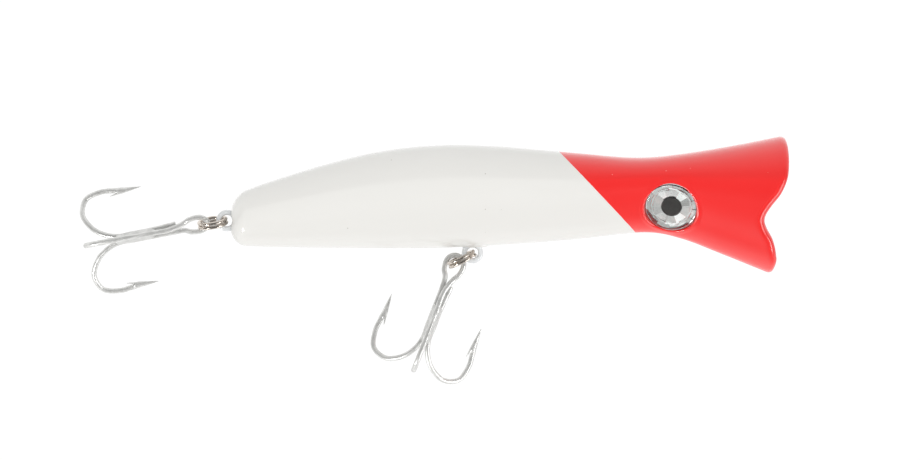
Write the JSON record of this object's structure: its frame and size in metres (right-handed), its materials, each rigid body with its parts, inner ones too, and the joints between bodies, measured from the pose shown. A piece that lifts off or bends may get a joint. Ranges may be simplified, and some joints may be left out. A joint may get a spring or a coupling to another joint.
{
  "type": "topwater popper lure",
  "caption": "Tapered saltwater popper lure with a cupped mouth, set-in eyes, a through-wire and two treble hooks swinging on split rings.",
  "frame": {"origin": "centre of the line-tie eye inside the mouth", "axes": "+X out of the mouth along the through-wire, +Z towards the back, +Y to the lure's left"},
  "size_m": [0.2039, 0.0331, 0.0719],
  "materials": {
    "body_paint": "glossy clear-coated white paint with a red head",
    "hanger_wire": "stainless wire with overspray of white paint",
    "lead": "dull cast lead",
    "ball_steel": "polished steel",
    "eye_foil": "faceted silver foil",
    "eye_pupil": "printed dark brown-black",
    "eye_lens": "clear domed resin",
    "ring_nickel": "bright nickel plate",
    "hook_tin": "satin tinned steel"
  },
  "bodies": {
    "lure_body": {"right_body_shell": "body_paint", "left_body_shell": "body_paint", "through_wire": "hanger_wire", "tail_ballast_weight": "lead", "belly_ballast_weight": "lead", "right_eye_foil": "eye_foil", "right_eye_pupil": "eye_pupil", "right_eye_lens": "eye_lens", "left_eye_foil": "eye_foil", "left_eye_pupil": "eye_pupil", "left_eye_lens": "eye_lens"},
    "front_right_ball": {"front_right_rattle_ball": "ball_steel"},
    "front_left_ball": {"front_left_rattle_ball": "ball_steel"},
    "rear_right_ball": {"rear_right_rattle_ball": "ball_steel"},
    "rear_left_ball": {"rear_left_rattle_ball": "ball_steel"},
    "tail_ring": {"tail_split_ring": "ring_nickel"},
    "tail_treble": {"tail_treble_double_hook": "hook_tin", "tail_treble_single_hook": "hook_tin"},
    "belly_ring": {"belly_split_ring": "ring_nickel"},
    "belly_treble": {"belly_treble_double_hook": "hook_tin", "belly_treble_single_hook": "hook_tin"}
  },
  "joints": [
    {"name": "tail_ring_swing", "type": "hinge", "parent": "lure_body", "child": "tail_ring", "pos_m": [-0.1509, 0, 0.0001], "axis": [0, 1, 0], "range_deg": [-72, 78]},
    {"name": "tail_treble_swing", "type": "hinge", "parent": "tail_ring", "child": "tail_treble", "pos_m": [-0.15868, 0, -0.00127], "axis": [0.0391, -0.9744, -0.2215], "range_deg": [-80, 80]},
    {"name": "belly_ring_swing", "type": "hinge", "parent": "lure_body", "child": "belly_ring", "pos_m": [-0.07963, 0, -0.00929], "axis": [0, 1, 0], "range_deg": [-100, 3]},
    {"name": "belly_treble_swing", "type": "hinge", "parent": "belly_ring", "child": "belly_treble", "pos_m": [-0.08594, 0.00253, -0.01228], "axis": [-0.552, -0.7644, -0.333], "range_deg": [-35, 60]},
    {"name": "front_right_ball_roll", "type": "slide", "parent": "lure_body", "child": "front_right_ball", "axis": [1, 0, 0], "range_m": [-0.003, 0.003]},
    {"name": "front_left_ball_roll", "type": "slide", "parent": "lure_body", "child": "front_left_ball", "axis": [1, 0, 0], "range_m": [-0.003, 0.003]},
    {"name": "rear_right_ball_roll", "type": "slide", "parent": "lure_body", "child": "rear_right_ball", "axis": [1, 0, 0], "range_m": [-0.003, 0.003]},
    {"name": "rear_left_ball_roll", "type": "slide", "parent": "lure_body", "child": "rear_left_ball", "axis": [1, 0, 0], "range_m": [-0.003, 0.003]}
  ]
}
